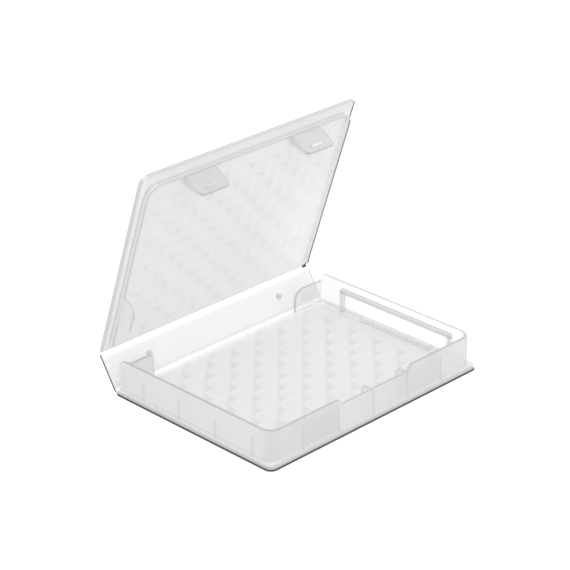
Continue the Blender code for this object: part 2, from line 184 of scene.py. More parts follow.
print("Lighting the studio and laying the floor")
studioLook = {
    "dome": 0.86,          # even light from all sides
    "backdrop": 254,       # grey of the background as the camera sees it
    "suns": (              # the first one shows the pyramids' facets
        {"name": "keySun", "strength": 0.35, "from": (1.0, -1.0, 1.05), "softness": 12.0},
        {"name": "fillSun", "strength": 0.10, "from": (-1.0, -0.7, 1.2), "softness": 25.0},
    ),
}


def addSun(look):
    # a sun that shines from the given direction and casts no shadow
    data = bpy.data.lights.new(look["name"], "SUN")
    data.energy = look["strength"]
    data.angle = math.radians(look["softness"])
    data.use_shadow = False
    lamp = bpy.data.objects.new(look["name"], data)
    scene.collection.objects.link(lamp)
    lamp.rotation_euler = Vector(look["from"]).to_track_quat("Z", "Y").to_euler()


def makeStudio(look):
    # the dome lights the object, and camera, glossy and transmission rays see the backdrop's grey instead
    world = bpy.data.worlds.new("studio")
    scene.world = world
    world.use_nodes = True
    tree = world.node_tree
    tree.nodes.clear()
    output = tree.nodes.new("ShaderNodeOutputWorld")
    mix = tree.nodes.new("ShaderNodeMixShader")
    dome = tree.nodes.new("ShaderNodeBackground")
    seen = tree.nodes.new("ShaderNodeBackground")
    dome.inputs["Color"].default_value = (1.0, 1.0, 1.0, 1.0)
    dome.inputs["Strength"].default_value = look["dome"]
    seen.inputs["Color"].default_value = grey(look["backdrop"])
    tree.links.new(seenRays(tree), mix.inputs[0])
    tree.links.new(dome.outputs[0], mix.inputs[1])
    tree.links.new(seen.outputs[0], mix.inputs[2])
    tree.links.new(mix.outputs[0], output.inputs["Surface"])
    for sun in look["suns"]:
        addSun(sun)


makeStudio(studioLook)

floorLook = {
    "reach": 4.0,
    "drop": 0.0001,              # how far it lies below the tray's underside
    "paint": 235,
    "glow": 0.55,                # added to the lit paint for the rays that see the background
    "shadowGrey": 96,            # contact shadow beside the tray's flange
    "shadowShift": (-0.0008, -0.0008),
    "shadowSoft": (0.0008, 0.0001),
    "flangeSoft": (-0.0002, 0.0001),
    "half": (0.060, 0.046),      # the tray's outline up to the lower fold
    "corner": 0.003,
}


def makeFloor(look):
    # a plane whose paint is lit, plus a glow for the rays that see the background, both darkened by a
    # thin contact shadow: outside the tray's outline and inside the same outline shifted left and forward
    reach = look["reach"]
    corners = np.array([(-reach, -reach), (reach, -reach), (reach, reach), (-reach, reach)])
    points = np.column_stack((corners, np.full(4, -look["drop"])))
    mesh = bpy.data.meshes.new("floor")
    mesh.from_pydata(points.tolist(), [], [(0, 1, 2, 3)])
    floor = bpy.data.objects.new("floor", mesh)
    scene.collection.objects.link(floor)
    made = bpy.data.materials.new("paleFloor")
    made.use_nodes = True
    tree = made.node_tree
    tree.nodes.clear()
    output = tree.nodes.new("ShaderNodeOutputMaterial")
    place = tree.nodes.new("ShaderNodeTexCoord")
    split = tree.nodes.new("ShaderNodeSeparateXYZ")
    tree.links.new(place.outputs["Object"], split.inputs[0])
    x, y = split.outputs["X"], split.outputs["Y"]
    footprint = roundedDistance(tree, x, y, (0.0, 0.0), look["half"], look["corner"])
    shifted = roundedDistance(tree, x, y, look["shadowShift"], look["half"], look["corner"])
    beside = smoothStep(tree, footprint, *look["flangeSoft"])
    near = smoothStep(tree, shifted, *look["shadowSoft"])
    shade = mathNode(tree, "MULTIPLY", beside, near)
    paint = tree.nodes.new("ShaderNodeMix")
    paint.data_type = "RGBA"
    tree.links.new(shade, paint.inputs["Factor"])
    paint.inputs["A"].default_value = grey(look["paint"])
    paint.inputs["B"].default_value = grey(look["shadowGrey"])
    diffuse = tree.nodes.new("ShaderNodeBsdfDiffuse")
    tree.links.new(paint.outputs["Result"], diffuse.inputs["Color"])
    glow = tree.nodes.new("ShaderNodeEmission")
    lightless = mathNode(tree, "SUBTRACT", 1.0, shade)
    strength = mathNode(tree, "MULTIPLY", mathNode(tree, "MULTIPLY", seenRays(tree), lightless), look["glow"])
    tree.links.new(strength, glow.inputs["Strength"])
    both = tree.nodes.new("ShaderNodeAddShader")
    tree.links.new(diffuse.outputs[0], both.inputs[0])
    tree.links.new(glow.outputs[0], both.inputs[1])
    tree.links.new(both.outputs[0], output.inputs["Surface"])
    mesh.materials.append(made)


makeFloor(floorLook)

print("Building the shader groups")
plasticLook = {
    "roughness": 0.42,
    "roughnessSpread": 0.12,
    "cloudShare": 0.02,          # how much the slow clouding darkens
    "cloudScale": 45.0,
    "grainScale": 2600.0,
    "grainDepth": 0.00002,
    "bumpStrength": 0.25,
    "noiseDetail": 2.0,
    "noiseRoughness": 0.55,
    "edgeWidth": 0.0004,
    "smoothAngle": 32.0,
}
pyramidForm = {
    "pitch": 0.0100,
    "halfSide": 0.00385,
    "soft": 0.0013,              # blur at the edges of the painted facets
    "slack": 0.0005,             # how far past the outermost tips a pyramid's middle may lie
    "ridgeShade": 0.6,           # strength of a facet's shade at the tip, where its base line has 1
}


def newGroup(name, inputs, outputs):
    # an empty node group with typed, named sockets
    group = bpy.data.node_groups.new(name, "ShaderNodeTree")
    for label, kind in inputs:
        group.interface.new_socket(label, in_out="INPUT", socket_type=kind)
    for label, kind in outputs:
        group.interface.new_socket(label, in_out="OUTPUT", socket_type=kind)
    return group, group.nodes.new("NodeGroupInput"), group.nodes.new("NodeGroupOutput")


def makeEdgeLines():
    # a mask for painted shade lines along a box's edges: nearness n per axis rises from 0 to 1 over the last
    # stretch before the box's side; two near axes at once make an edge, so the mask is the largest product of
    # two of the three
    group, given, result = newGroup(
        "edgeLines",
        (("Position", "NodeSocketVector"), ("Centre", "NodeSocketVector"),
         ("Half", "NodeSocketVector"), ("Width", "NodeSocketFloat")),
        (("Mask", "NodeSocketFloat"),))
    away = group.nodes.new("ShaderNodeVectorMath")
    away.operation = "SUBTRACT"
    group.links.new(given.outputs["Position"], away.inputs[0])
    group.links.new(given.outputs["Centre"], away.inputs[1])
    size = group.nodes.new("ShaderNodeVectorMath")
    size.operation = "ABSOLUTE"
    group.links.new(away.outputs[0], size.inputs[0])
    here = group.nodes.new("ShaderNodeSeparateXYZ")
    group.links.new(size.outputs[0], here.inputs[0])
    limit = group.nodes.new("ShaderNodeSeparateXYZ")
    group.links.new(given.outputs["Half"], limit.inputs[0])
    near = []
    for axis in "XYZ":
        span = group.nodes.new("ShaderNodeMapRange")
        span.interpolation_type = "SMOOTHSTEP"
        group.links.new(here.outputs[axis], span.inputs["Value"])
        start = mathNode(group, "SUBTRACT", limit.outputs[axis], given.outputs["Width"])
        group.links.new(start, span.inputs["From Min"])
        group.links.new(limit.outputs[axis], span.inputs["From Max"])
        near.append(span.outputs["Result"])
    pairs = [mathNode(group, "MULTIPLY", near[a], near[b]) for a, b in ((0, 1), (1, 2), (0, 2))]
    most = mathNode(group, "MAXIMUM", mathNode(group, "MAXIMUM", pairs[0], pairs[1]), pairs[2])
    group.links.new(most, result.inputs["Mask"])
    return group


def makeSatinGrain():
    # Cloud is slow noise, for the resin's uneven thickness; Height is fine noise, for the mould's satin
    group, given, result = newGroup(
        "satinGrain",
        (("Position", "NodeSocketVector"), ("Cloud Scale", "NodeSocketFloat"),
         ("Grain Scale", "NodeSocketFloat")),
        (("Cloud", "NodeSocketFloat"), ("Height", "NodeSocketFloat")))
    for scale, target in (("Cloud Scale", "Cloud"), ("Grain Scale", "Height")):
        noise = group.nodes.new("ShaderNodeTexNoise")
        noise.inputs["Detail"].default_value = plasticLook["noiseDetail"]
        noise.inputs["Roughness"].default_value = plasticLook["noiseRoughness"]
        group.links.new(given.outputs["Position"], noise.inputs["Vector"])
        group.links.new(given.outputs[scale], noise.inputs["Scale"])
        group.links.new(noise.outputs["Fac"], result.inputs[target])
    return group


def makePyramidShade(form):
    # s and t count pitches along and across the direction that the dark facets face, and the nearest whole
    # numbers give a pyramid's middle. With u and v the rest in metres and h half a side, a point lies on
    # the dark facet where |v| < u < h, on its base line where u is about h, and between pyramids past h.
    # All four masks are painted light and shade: painted shade on the facet that faces away from the light
    # and along its base line, a painted highlight along its ridge and painted light between the pyramids
    group, given, result = newGroup(
        "pyramidShade",
        (("Position", "NodeSocketVector"), ("Anchor", "NodeSocketVector"), ("Facing", "NodeSocketVector"),
         ("Across", "NodeSocketVector"), ("Centre", "NodeSocketVector"), ("Half", "NodeSocketVector"),
         ("Pitch", "NodeSocketFloat"), ("Half Side", "NodeSocketFloat"), ("Soft", "NodeSocketFloat")),
        (("Shaded Facet", "NodeSocketFloat"), ("Base Shade Line", "NodeSocketFloat"), ("Glint", "NodeSocketFloat"),
         ("Gap Light", "NodeSocketFloat")))

    def vector(operation, first, second, scale=None):
        # one Vector Math node, whose inputs are sockets
        node = group.nodes.new("ShaderNodeVectorMath")
        node.operation = operation
        group.links.new(first, node.inputs[0])
        if second is not None:
            group.links.new(second, node.inputs[1])
        if scale is not None:
            group.links.new(scale, node.inputs["Scale"])
        return node.outputs["Value"] if operation == "DOT_PRODUCT" else node.outputs["Vector"]

    pitch, halfSide, soft = given.outputs["Pitch"], given.outputs["Half Side"], given.outputs["Soft"]
    away = vector("SUBTRACT", given.outputs["Position"], given.outputs["Anchor"])
    middle = given.outputs["Anchor"]
    rest = []
    for direction in ("Facing", "Across"):
        count = mathNode(group, "DIVIDE", vector("DOT_PRODUCT", away, given.outputs[direction]), pitch)
        whole = mathNode(group, "ROUND", count)
        rest.append(mathNode(group, "MULTIPLY", mathNode(group, "SUBTRACT", count, whole), pitch))
        reach = mathNode(group, "MULTIPLY", whole, pitch)
        middle = vector("ADD", middle, vector("SCALE", given.outputs[direction], None, reach))
    u, v = rest[0], mathNode(group, "ABSOLUTE", rest[1])
    fromCentre = vector("ABSOLUTE", vector("SUBTRACT", middle, given.outputs["Centre"]), None)
    room = group.nodes.new("ShaderNodeSeparateXYZ")
    group.links.new(vector("SUBTRACT", given.outputs["Half"], fromCentre), room.inputs[0])
    least = mathNode(group, "MINIMUM", room.outputs["X"], room.outputs["Y"])
    inside = mathNode(group, "GREATER_THAN", least, -form["slack"])

    def rise(value, low, width):
        # a straight ramp from 0 at low to 1 at low + width
        ramp = mathNode(group, "DIVIDE", mathNode(group, "SUBTRACT", value, low), width)
        return mathNode(group, "MAXIMUM", mathNode(group, "MINIMUM", ramp, 1.0), 0.0)

    def under(value, high, width):
        # a straight ramp from 1 at high to 0 at high + width
        return mathNode(group, "SUBTRACT", 1.0, rise(value, high, width))

    onFacet = mathNode(group, "MULTIPLY", rise(u, v, soft), under(u, halfSide, soft))
    deep = mathNode(group, "MULTIPLY", mathNode(group, "DIVIDE", u, halfSide), 1.0 - form["ridgeShade"])
    deep = mathNode(group, "ADD", deep, form["ridgeShade"])
    facet = mathNode(group, "MULTIPLY", mathNode(group, "MULTIPLY", onFacet, deep), inside)
    fromLine = mathNode(group, "ABSOLUTE", mathNode(group, "SUBTRACT", u, halfSide))
    line = mathNode(group, "MULTIPLY", under(fromLine, 0.0, soft), inside)
    fromRidge = mathNode(group, "ABSOLUTE", mathNode(group, "SUBTRACT", u, v))
    glint = mathNode(group, "MULTIPLY", under(fromRidge, 0.0, soft), rise(rest[1], 0.0, soft))
    glint = mathNode(group, "MULTIPLY", mathNode(group, "MULTIPLY", glint, under(u, halfSide, soft)), inside)
    gap = mathNode(group, "MULTIPLY", rise(mathNode(group, "ABSOLUTE", u), halfSide, soft), inside)
    for label, value in (("Shaded Facet", facet), ("Base Shade Line", line), ("Glint", glint), ("Gap Light", gap)):
        group.links.new(value, result.inputs[label])
    return group


def makeRibStripes():
    # a mask for painted shade stripes where ribs show through a wall: distance to the nearest rib is |count -
    # round(count)| * pitch with count = (place - first) / pitch
    group, given, result = newGroup(
        "ribStripes",
        (("Place", "NodeSocketFloat"), ("First", "NodeSocketFloat"), ("Pitch", "NodeSocketFloat"),
         ("Half Width", "NodeSocketFloat")),
        (("Stripe", "NodeSocketFloat"),))
    count = mathNode(group, "SUBTRACT", given.outputs["Place"], given.outputs["First"])
    count = mathNode(group, "DIVIDE", count, given.outputs["Pitch"])
    away = mathNode(group, "SUBTRACT", count, mathNode(group, "ROUND", count))
    away = mathNode(group, "MULTIPLY", away, given.outputs["Pitch"])
    stripe = group.nodes.new("ShaderNodeMapRange")
    stripe.interpolation_type = "SMOOTHSTEP"
    group.links.new(mathNode(group, "ABSOLUTE", away), stripe.inputs["Value"])
    stripe.inputs["From Min"].default_value = 0.0
    group.links.new(given.outputs["Half Width"], stripe.inputs["From Max"])
    stripe.inputs["To Min"].default_value = 1.0
    stripe.inputs["To Max"].default_value = 0.0
    group.links.new(stripe.outputs["Result"], result.inputs["Stripe"])
    return group


edgeLines = makeEdgeLines()
satinGrain = makeSatinGrain()
pyramidShade = makePyramidShade(pyramidForm)
ribStripes = makeRibStripes()


def placedGroup(tree, group, position, values):
    # one copy of a shared group, with its position linked and its other inputs set
    node = tree.nodes.new("ShaderNodeGroup")
    node.node_tree = group
    if position is not None:
        tree.links.new(position, node.inputs["Position"])
    for label, value in values.items():
        node.inputs[label].default_value = value
    return node


def band(level, *where, alpha=None):
    # a zone of another grey; each step of where is an axis, the place where the zone starts to show
    # and the place where it shows in full
    return {"grey": level, "where": where, "alpha": alpha}


def border(level, width, centre, half, corner, alpha=None, axes="XY", where=()):
    # a line along the outline of a rounded rectangle, which fades over the width on both sides
    return {"grey": level, "width": width, "centre": centre, "half": half, "corner": corner,
            "alpha": alpha, "axes": axes, "where": where}


def bandMask(tree, split, where):
    # product of one smooth step for each (axis, from, to)
    mask = None
    for axis, low, high in where:
        step = smoothStep(tree, split.outputs[axis], low, high)
        mask = step if mask is None else mathNode(tree, "MULTIPLY", mask, step)
    return mask


def borderMask(tree, split, line):
    # 1 on the outline, 0 at the width on both sides of it, and only inside the line's own zone
    across, along = (split.outputs[axis] for axis in line["axes"])
    away = roundedDistance(tree, across, along, line["centre"], line["half"], line["corner"])
    mask = smoothStep(tree, mathNode(tree, "ABSOLUTE", away), line["width"], 0.0)
    if line["where"]:
        mask = mathNode(tree, "MULTIPLY", mask, bandMask(tree, split, line["where"]))
    return mask


def paintLayers(tree, position, split, look):
    # the layers of a piece's paint in order, many of them painted shade and painted light: each is a mask, a
    # grey and, where it changes, an opacity
    layers = []
    if "pyramids" in look:
        pattern = look["pyramids"]
        node = placedGroup(tree, pyramidShade, position, pattern["values"])
        for label, level in pattern["greys"].items():
            layers.append((node.outputs[label], level, None))
    for line in look.get("borders", ()):
        layers.append((borderMask(tree, split, line), line["grey"], line["alpha"]))
    for zone in look.get("bands", ()):
        layers.append((bandMask(tree, split, zone["where"]), zone["grey"], zone["alpha"]))
    for ribs in look.get("ribs", ()):
        node = placedGroup(tree, ribStripes, None, ribs["values"])
        tree.links.new(split.outputs[ribs["axis"]], node.inputs["Place"])
        there = bandMask(tree, split, ribs["where"])
        layers.append((mathNode(tree, "MULTIPLY", node.outputs["Stripe"], there), ribs["grey"], None))
    for line in look.get("outlines", ()):
        layers.append((borderMask(tree, split, line), line["grey"], line["alpha"]))
    if "box" in look:
        centre, half = look["box"]
        width = look.get("edgeWidth", plasticLook["edgeWidth"])
        node = placedGroup(tree, edgeLines, position, {"Centre": centre, "Half": half, "Width": width})
        layers.append((node.outputs["Mask"], look["edge"], look.get("edgeAlpha")))
    if "line" in look:
        drawn = tree.nodes.new("ShaderNodeAttribute")
        drawn.attribute_name = "line"
        layers.append((drawn.outputs["Fac"], look["line"], look["lineAlpha"]))
    return layers


def plastic(name, look):
    # Base colour: the face's grey with every layer mixed over it, times the clouding. Each piece's face grey
    # is the same white plastic, painted lighter or darker by the light it gets there.
    # Alpha: the face's opacity with the layers' mixed over it, and none on faces seen from behind,
    # so that a wall counts once.
    made = bpy.data.materials.new(name)
    made.use_nodes = True
    tree = made.node_tree
    shader = tree.nodes["Principled BSDF"]
    place = tree.nodes.new("ShaderNodeTexCoord")
    position = place.outputs["Object"]
    if "fold" in look:
        fold = folds[look["fold"]]
        turned = tree.nodes.new("ShaderNodeMapping")
        turned.vector_type = "TEXTURE"
        turned.inputs["Location"].default_value = fold["origin"]
        turned.inputs["Rotation"].default_value = (math.radians(fold["turn"]), 0.0, 0.0)
        tree.links.new(position, turned.inputs["Vector"])
        position = turned.outputs["Vector"]
    split = tree.nodes.new("ShaderNodeSeparateXYZ")
    tree.links.new(position, split.inputs[0])
    grain = placedGroup(tree, satinGrain, position, {
        "Cloud Scale": plasticLook["cloudScale"], "Grain Scale": plasticLook["grainScale"]})
    colour = None
    solidity = look["alpha"]
    for mask, level, alpha in paintLayers(tree, position, split, look):
        mix = tree.nodes.new("ShaderNodeMix")
        mix.data_type = "RGBA"
        tree.links.new(mask, mix.inputs["Factor"])
        if colour is None:
            mix.inputs["A"].default_value = grey(look["face"])
        else:
            tree.links.new(colour, mix.inputs["A"])
        mix.inputs["B"].default_value = grey(level)
        colour = mix.outputs["Result"]
        if alpha is not None:
            gain = mathNode(tree, "MULTIPLY", mathNode(tree, "SUBTRACT", alpha, solidity), mask)
            solidity = mathNode(tree, "ADD", solidity, gain)
    cloudDarkening = mathNode(tree, "MULTIPLY", grain.outputs["Cloud"], -plasticLook["cloudShare"])
    cloudFactor = mathNode(tree, "ADD", cloudDarkening, 1.0 + plasticLook["cloudShare"] / 2)
    tint = tree.nodes.new("ShaderNodeVectorMath")
    tint.operation = "SCALE"
    if colour is None:
        tint.inputs[0].default_value = grey(look["face"])[:3]
    else:
        tree.links.new(colour, tint.inputs[0])
    tree.links.new(cloudFactor, tint.inputs["Scale"])
    tree.links.new(tint.outputs[0], shader.inputs["Base Color"])
    spread = plasticLook["roughnessSpread"]
    roughness = mathNode(tree, "MULTIPLY", grain.outputs["Cloud"], spread)
    roughness = mathNode(tree, "ADD", roughness, plasticLook["roughness"] - spread / 2)
    tree.links.new(roughness, shader.inputs["Roughness"])
    bump = tree.nodes.new("ShaderNodeBump")
    bump.inputs["Strength"].default_value = plasticLook["bumpStrength"]
    bump.inputs["Distance"].default_value = plasticLook["grainDepth"]
    tree.links.new(grain.outputs["Height"], bump.inputs["Height"])
    tree.links.new(bump.outputs["Normal"], shader.inputs["Normal"])
    facing = tree.nodes.new("ShaderNodeNewGeometry")
    front = mathNode(tree, "SUBTRACT", 1.0, facing.outputs["Backfacing"])
    tree.links.new(mathNode(tree, "MULTIPLY", front, solidity), shader.inputs["Alpha"])
    made.diffuse_color = (*grey(look["face"])[:3], look["alpha"])
    return made


def dress(name, look):
    # gives a imported node its plastic, with its paint and its painted light and shade
    slots = nodes[name].data.materials
    slots.clear()
    slots.append(plastic(name + "Plastic", look))


def localPoints(name, fold=None):
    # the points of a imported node, in its fold's own frame
    vertices = nodes[name].data.vertices
    points = np.empty(len(vertices) * 3)
    vertices.foreach_get("co", points)
    points = points.reshape(-1, 3)
    if fold:
        inverse = np.array(foldMatrix(fold).inverted())
        points = points @ inverse[:3, :3].T + inverse[:3, 3]
    return points


def localBox(name, fold=None):
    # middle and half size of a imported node, in its fold's own frame
    points = localPoints(name, fold)
    low, high = points.min(0), points.max(0)
    return tuple((low + high) / 2), tuple((high - low) / 2)


def gridMesh(name, points, matrix=None):
    # points[u, v] is a grid: quads join neighbours, the second direction closes on itself,
    # and flat caps close the two ends of the first
    rows, columns = points.shape[:2]
    index = np.arange(rows * columns).reshape(rows, columns)
    right = np.roll(index, -1, axis=1)
    faces = np.stack((index[:-1], right[:-1], right[1:], index[1:]), -1).reshape(-1, 4).tolist()
    faces.append(index[0][::-1].tolist())
    faces.append(index[-1].tolist())
    flat = points.reshape(-1, 3)
    if matrix is not None:
        turn = np.array(matrix)
        flat = flat @ turn[:3, :3].T + turn[:3, 3]
    mesh = bpy.data.meshes.new(name)
    mesh.from_pydata(flat.tolist(), [], faces)
    mesh.validate()
    return mesh


def addPiece(name, mesh, look, body, replaced, line=None):
    # turns the mesh's faces outwards, smooths its round parts and hands it to its body;
    # line is a painted shade line, drawn where an edge of the moulding shows, as a value for each point
    if line is not None:
        drawn = mesh.attributes.new("line", "FLOAT", "POINT")
        drawn.data.foreach_set("value", np.ascontiguousarray(line, dtype=np.float32).ravel())
    solid = bmesh.new()
    solid.from_mesh(mesh)
    bmesh.ops.recalc_face_normals(solid, faces=solid.faces)
    solid.to_mesh(mesh)
    solid.free()
    mesh.shade_smooth()
    mesh.set_sharp_from_angle(angle=math.radians(plasticLook["smoothAngle"]))
    mesh.materials.append(plastic(name + "Plastic", look))
    piece = bpy.data.objects.new(name, mesh)
    scene.collection.objects.link(piece)
    if body:
        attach(piece, body)
    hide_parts(*replaced)
    return piece


def hoopPath(sideX, sideY, frontX, cornerX, cornerY, radius, bendSteps, ahead):
    # a path along the left side, round a corner, along the front and back down the right side as a mirror
    # image; each row is x, y and the direction that points outwards, and ahead is the front's sign of Y
    bend = np.linspace(0.0, math.pi / 2, bendSteps + 1)
    left = np.column_stack((np.full(sideY.size, -sideX), sideY,
                            np.full(sideY.size, -1.0), np.zeros(sideY.size)))
    bendLeft = np.column_stack((-cornerX - radius * np.cos(bend), cornerY + ahead * radius * np.sin(bend),
                                -np.cos(bend), ahead * np.sin(bend)))
    front = np.column_stack((frontX, np.full(frontX.size, cornerY + ahead * radius),
                             np.zeros(frontX.size), np.full(frontX.size, ahead)))
    mirror = (-1, 1, -1, 1)
    return np.concatenate((left, bendLeft, front, bendLeft[::-1] * mirror, left[::-1] * mirror))


def slabProfile(look):
    # a slab with two rounded top edges, in rows of the offset outwards, 1 if measured from the top,
    # the rise and the strength of the painted shade line
    half, r = look["thickness"] / 2, look["edgeRadius"]
    quarter = np.linspace(0.0, math.pi / 2, look["edgeSteps"])
    ones = np.ones(quarter.size)
    crest = np.column_stack((half - r + r * np.cos(quarter), ones, r * np.sin(quarter) - r, ones))
    under = np.array(((half, 1.0, -look["lineDrop"], 0.0),))
    beside = np.array(((half - look["lineReach"], 1.0, 0.0, 0.0),))
    mirror = (-1, 1, 1, 1)
    outFoot = np.array(look["outFoot"]) + (half, 0.0, 0.0, 0.0)
    inFoot = np.array(look["inFoot"]) - (half, 0.0, 0.0, 0.0)
    return np.concatenate((outFoot, under, crest * (1, 1, 1, look["outerLine"]), beside,
                           beside * mirror, (crest * mirror)[::-1], under * mirror, inFoot))


def sweepSlab(path, look, top):
    # the profile carried along the path: a point lies at the path plus its offset in the outward
    # direction, and rises from the foot or from the top
    offset, fromTop, rise, line = slabProfile(look).T
    x = path[:, 0:1] + path[:, 2:3] * offset
    y = path[:, 1:2] + path[:, 3:4] * offset
    z = np.where(fromTop > 0, top[:, None] + rise, look["foot"] + rise)
    return np.stack((x, y, z), -1), line


print("Sweeping the tray's wall")
leftLow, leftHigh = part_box("left_wall")
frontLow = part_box("front_wall")[0]
contactGap = 0.00002            # swept pieces stand this far above the faces below them
wallSlim = 0.00003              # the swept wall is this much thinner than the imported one
wallLook = {
    "foot": leftLow.z + contactGap,
    "top": leftHigh.z,
    "outerX": -leftLow.x,
    "outerY": -frontLow.y,
    "rear": leftHigh.y,
    "thickness": leftHigh.x - leftLow.x - wallSlim,
    "corner": -frontLow.y + leftLow.y,
    "rearRadius": 0.0042,
    "notchTop": 0.0213,
    "notchLow": 0.0188,
    "notchDepth": 0.0024,
    "notchMargin": 0.0008,      # how far the notch's fine steps go on past its slopes
    "edgeRadius": 0.0002,
    "edgeSteps": 5,
    # lineDrop, lineReach, outerLine and rightLine set the painted shade line along the wall's top edges
    "lineDrop": 0.0005,         # how far the drawn edge line fades down the wall and across its top
    "lineReach": 0.0004,
    "outerLine": 1.0,
    "rightFacing": 0.9,         # the right wall is where the outward direction has more of +X than this
    "rightLine": 0.45,          # strength of the edge lines there, where the wall stands before white
    # the profile's rows at the foot, with offsets from the outer and from the inner face
    "outFoot": ((0.0004, 0.0, 0.0, 0.0), (0.0001, 0.0, 0.0001, 0.0), (0.0, 0.0, 0.0004, 0.0)),
    "inFoot": ((0.0, 0.0, 0.0003, 0.0), (0.0, 0.0, 0.0, 0.0)),
    "rearSteps": 12,
    "sideSteps": 14,
    "cornerSteps": 18,
    "frontSteps": (8, 14, 10, 14, 8),      # for the stretches between corners, slopes and notch
}


def ribRow(first, second, axis):
    # place of the first rib, the pitch and the ribs' top, read from two packed ribs
    lowFirst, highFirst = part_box(first)
    lowSecond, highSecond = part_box(second)
    here = (lowFirst[axis] + highFirst[axis]) / 2
    there = (lowSecond[axis] + highSecond[axis]) / 2
    return here, there - here, highFirst.z


frontRib, frontPitch, frontRibTop = ribRow("front_rib_1", "front_rib_2", 0)
sideRib, sidePitch, sideRibTop = ribRow("side_rib_1", "side_rib_2", 1)
ribShift = wallLook["thickness"]          # the ribs show through the wall, nearer the camera by its thickness
wallPaintAndShade = {
    # line: a painted shade line along the wall's top edges
    "face": 242, "alpha": 0.85, "line": 196, "lineAlpha": 0.9,
    # painted shade: stripes where the ribs stand behind the wall
    "ribs": (
        {"axis": "X", "grey": 222,
         "where": (("Y", -0.0435, -0.0445), ("Z", frontRibTop + 0.0006, frontRibTop - 0.0006)),
         "values": {"First": frontRib - ribShift, "Pitch": frontPitch, "Half Width": 0.0011}},
        {"axis": "Y", "grey": 232,
         "where": (("X", -0.0573, -0.0583), ("Z", sideRibTop + 0.0006, sideRibTop - 0.0006)),
         "values": {"First": sideRib - ribShift, "Pitch": sidePitch, "Half Width": 0.0017}},
    ),
    "bands": (
        # painted shade: the front darker, more so where the parts behind it show through
        band(234, ("Y", -0.0400, -0.0440)),                                                 # front
        band(229, ("Y", -0.0380, -0.0440), ("X", -0.0200, -0.0220)),
        band(228, ("Y", -0.0435, -0.0445), ("X", 0.0030, 0.0180), ("X", 0.0190, 0.0180)),
        band(233, ("Y", -0.0435, -0.0445), ("X", 0.0180, 0.0190), ("X", 0.0395, 0.0385)),
        # painted shade at the foot
        band(241, ("Z", 0.0028, 0.0017)),                                                   # foot
        # painted light through the right wall, which is also clearer, the more so towards its rear
        band(250, ("X", 0.0555, 0.0570), ("Y", -0.0425, -0.0380), alpha=0.45),              # right wall
        band(253, ("X", 0.0555, 0.0570), ("Y", 0.0150, 0.0330), alpha=0.6),
        # painted shade: a dark strip where the front right corner turns away
        band(190, ("X", 0.0535, 0.0560), ("Y", -0.0419, -0.0428), ("Z", 0.0022, 0.0034), alpha=1.0),
        # painted shade on the top face, less of it on the right wall's top
        band(214, ("Z", 0.0153, 0.0155), alpha=0.9),                                        # top
        band(230, ("Z", 0.0153, 0.0155), ("X", 0.0565, 0.0572), alpha=0.9),
    ),
}


def smoothRamp(value, low, high):
    # 0 below low, 1 above high, 3t^2 - 2t^3 between
    t = np.clip((value - low) / (high - low), 0.0, 1.0)
    return t * t * (3 - 2 * t)


def wallPath(look):
    # the wall's middle line, with fine steps at the rear ends and at the notch's slopes
    half = look["thickness"] / 2
    cornerX = look["outerX"] - look["corner"]
    cornerY = look["corner"] - look["outerY"]
    straight = look["rear"] - look["rearRadius"]
    drop = np.linspace(0.0, look["rearRadius"], look["rearSteps"])
    sideY = np.concatenate((look["rear"] - drop, np.linspace(straight, cornerY, look["sideSteps"])[1:-1]))
    low, top = look["notchLow"] - look["notchMargin"], look["notchTop"] + look["notchMargin"]
    stops = (-cornerX, -top, -low, low, top, cornerX)
    spans = zip(stops, stops[1:], look["frontSteps"])
    frontX = np.concatenate([np.linspace(start, end, steps)[1:] for start, end, steps in spans])[:-1]
    return hoopPath(look["outerX"] - half, sideY, frontX, cornerX, cornerY, look["corner"] - half,
                    look["cornerSteps"], -1.0)


def wallHeight(path, look):
    # the full height, less the notch's S in the front and a quarter round at each rear end
    ease = look["notchMargin"] / 2
    slope = smoothRamp(np.abs(path[:, 0]), look["notchLow"] - ease, look["notchTop"] + ease)
    height = look["top"] - look["notchDepth"] * (1 - slope)
    radius = look["rearRadius"]
    beyond = np.clip(path[:, 1] - (look["rear"] - radius), 0.0, radius)
    return height - radius + np.sqrt(radius ** 2 - beyond ** 2)


wallRows = wallPath(wallLook)
wallPoints, wallLine = sweepSlab(wallRows, wallLook, wallHeight(wallRows, wallLook))
onRight = wallRows[:, 2:3] > wallLook["rightFacing"]
addPiece("trayWall", gridMesh("trayWall", wallPoints), wallPaintAndShade, "tray",
         ("left_wall", "right_wall", "front_wall", "front_left_corner", "front_right_corner"),
         np.where(onRight, wallLook["rightLine"], 1.0) * wallLine)

print("Finishing the tray")
diagonal = math.sqrt(0.5)
plateHalf = localBox("base_plate")[1]
plateMiddleZ = 0.0008            # half the plate's thickness without the pyramids
outlineLook = {"reach": 0.03, "width": 0.0006, "grey": 205}


def pyramidLook(name, tipHeight, facing, greys, fold=None):
    # the pyramid shade's values: pitch and side as moulded, the rest from the points above the tip height
    points = localPoints(name, fold)
    tips = points[points[:, 2] > tipHeight][:, :2]
    low, high = tips.min(0), tips.max(0)
    return {"values": {"Anchor": (*tips[0], 0.0), "Facing": (*facing, 0.0),
                       "Across": (-facing[1], facing[0], 0.0), "Centre": (*((low + high) / 2), 0.0),
                       "Half": (*((high - low) / 2), 1.0), "Pitch": pyramidForm["pitch"],
                       "Half Side": pyramidForm["halfSide"], "Soft": pyramidForm["soft"]},
            "greys": greys}


def endOutline(name, axes, side, radius, level=outlineLook["grey"], alpha=0.9, where=()):
    # a painted shade line along the outline of a wall or rib seen from its side: a rectangle with one round
    # corner on the piece, its free end on the given side of the first axis and its top, and the other corners
    # far outside
    middle, half = localBox(name)
    first, second = ("XYZ".index(axis) for axis in axes)
    reach = outlineLook["reach"]
    centre = (middle[first] + side * (half[first] - reach), middle[second] + half[second] - reach)
    return border(level, outlineLook["width"], centre, (reach, reach), radius, alpha, axes, where)


